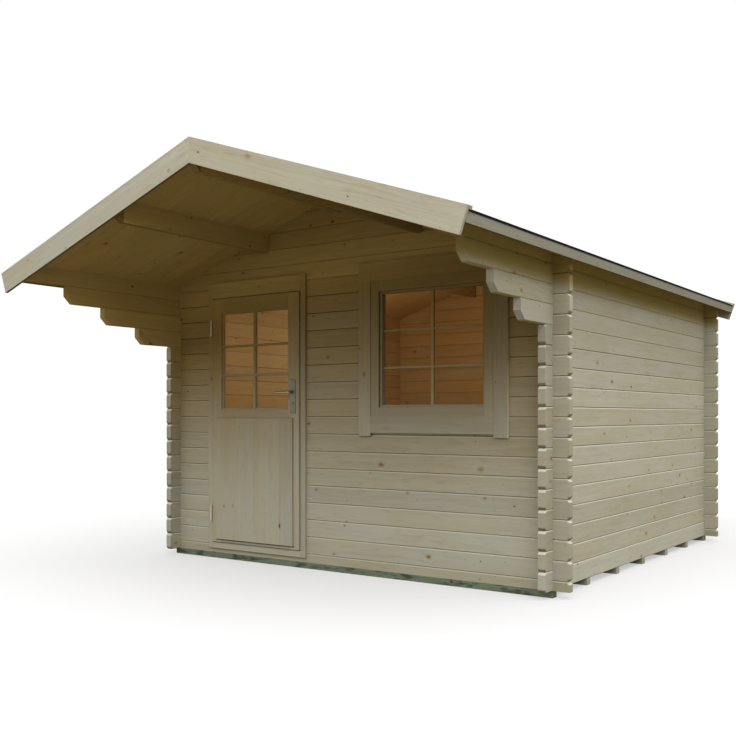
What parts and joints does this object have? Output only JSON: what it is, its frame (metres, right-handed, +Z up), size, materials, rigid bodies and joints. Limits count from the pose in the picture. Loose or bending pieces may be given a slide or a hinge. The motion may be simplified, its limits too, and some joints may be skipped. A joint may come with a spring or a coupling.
{
  "type": "garden house",
  "caption": "Log cabin garden house with interlocked corners, a canopy roof on stepped brackets, a half-glazed hinged door and a barred window.",
  "frame": {"origin": "centre of the bounding box's bottom face, on the ground under the floor beams", "axes": "+Z up, front with the door and the canopy towards -Y, ridge along Y"},
  "size_m": [3.398, 4.443, 2.5132],
  "materials": {
    "log": "planed bare pine, matte",
    "planed_board": "planed bare pine, matte",
    "joinery": "smooth planed pine, matte",
    "roof_board": "planed tongued boards, matte",
    "floor_board": "planed tongued boards, matte",
    "green_wood": "pressure treated rough sawn",
    "felt": "mineral roofing felt, matte",
    "glass": "clear sheet",
    "steel": "satin"
  },
  "bodies": {
    "house": {"floor_beams": "green_wood", "floor": "floor_board", "left_wall": "log", "left_bracket_low": "log", "left_bracket_middle": "log", "left_bracket_high": "log", "left_top_log": "log", "right_wall": "log", "right_bracket_low": "log", "right_bracket_middle": "log", "right_bracket_high": "log", "right_top_log": "log", "front_wall_base": "log", "front_wall_left": "log", "front_wall_low": "log", "front_wall_between": "log", "front_wall_right": "log", "front_gable": "log", "rear_wall": "log", "ridge_purlin": "log", "left_purlin": "log", "right_purlin": "log", "left_roof_boards": "roof_board", "right_roof_boards": "roof_board", "roof_felt": "felt", "left_eave_board": "planed_board", "right_eave_board": "planed_board", "front_left_bargeboard": "planed_board", "front_right_bargeboard": "planed_board", "rear_left_bargeboard": "planed_board", "rear_right_bargeboard": "planed_board", "front_cover_laths": "planed_board", "rear_cover_laths": "planed_board", "door_frame": "joinery", "door_casing": "joinery", "inside_casings": "joinery", "frame_hinges": "steel", "window_frame": "joinery", "window_sash": "joinery", "window_glass": "glass", "window_casing": "joinery"},
    "door": {"door_leaf": "joinery", "door_panel": "joinery", "door_glass": "glass", "handle_plates": "steel", "leaf_hinges": "steel"},
    "handle": {"door_handle": "steel"}
  },
  "joints": [
    {"name": "door_hinge", "type": "hinge", "parent": "house", "child": "door", "pos_m": [-1.108, -0.9345, 0.941], "axis": [0, 0, -1], "range_deg": [0, 110]},
    {"name": "handle_turn", "type": "hinge", "parent": "door", "child": "handle", "pos_m": [-0.355, -0.8985, 1.175], "axis": [0, -1, 0], "range_deg": [0, 40], "stiffness_Nm_per_rad": 1.5, "springref_deg": -11.46}
  ]
}
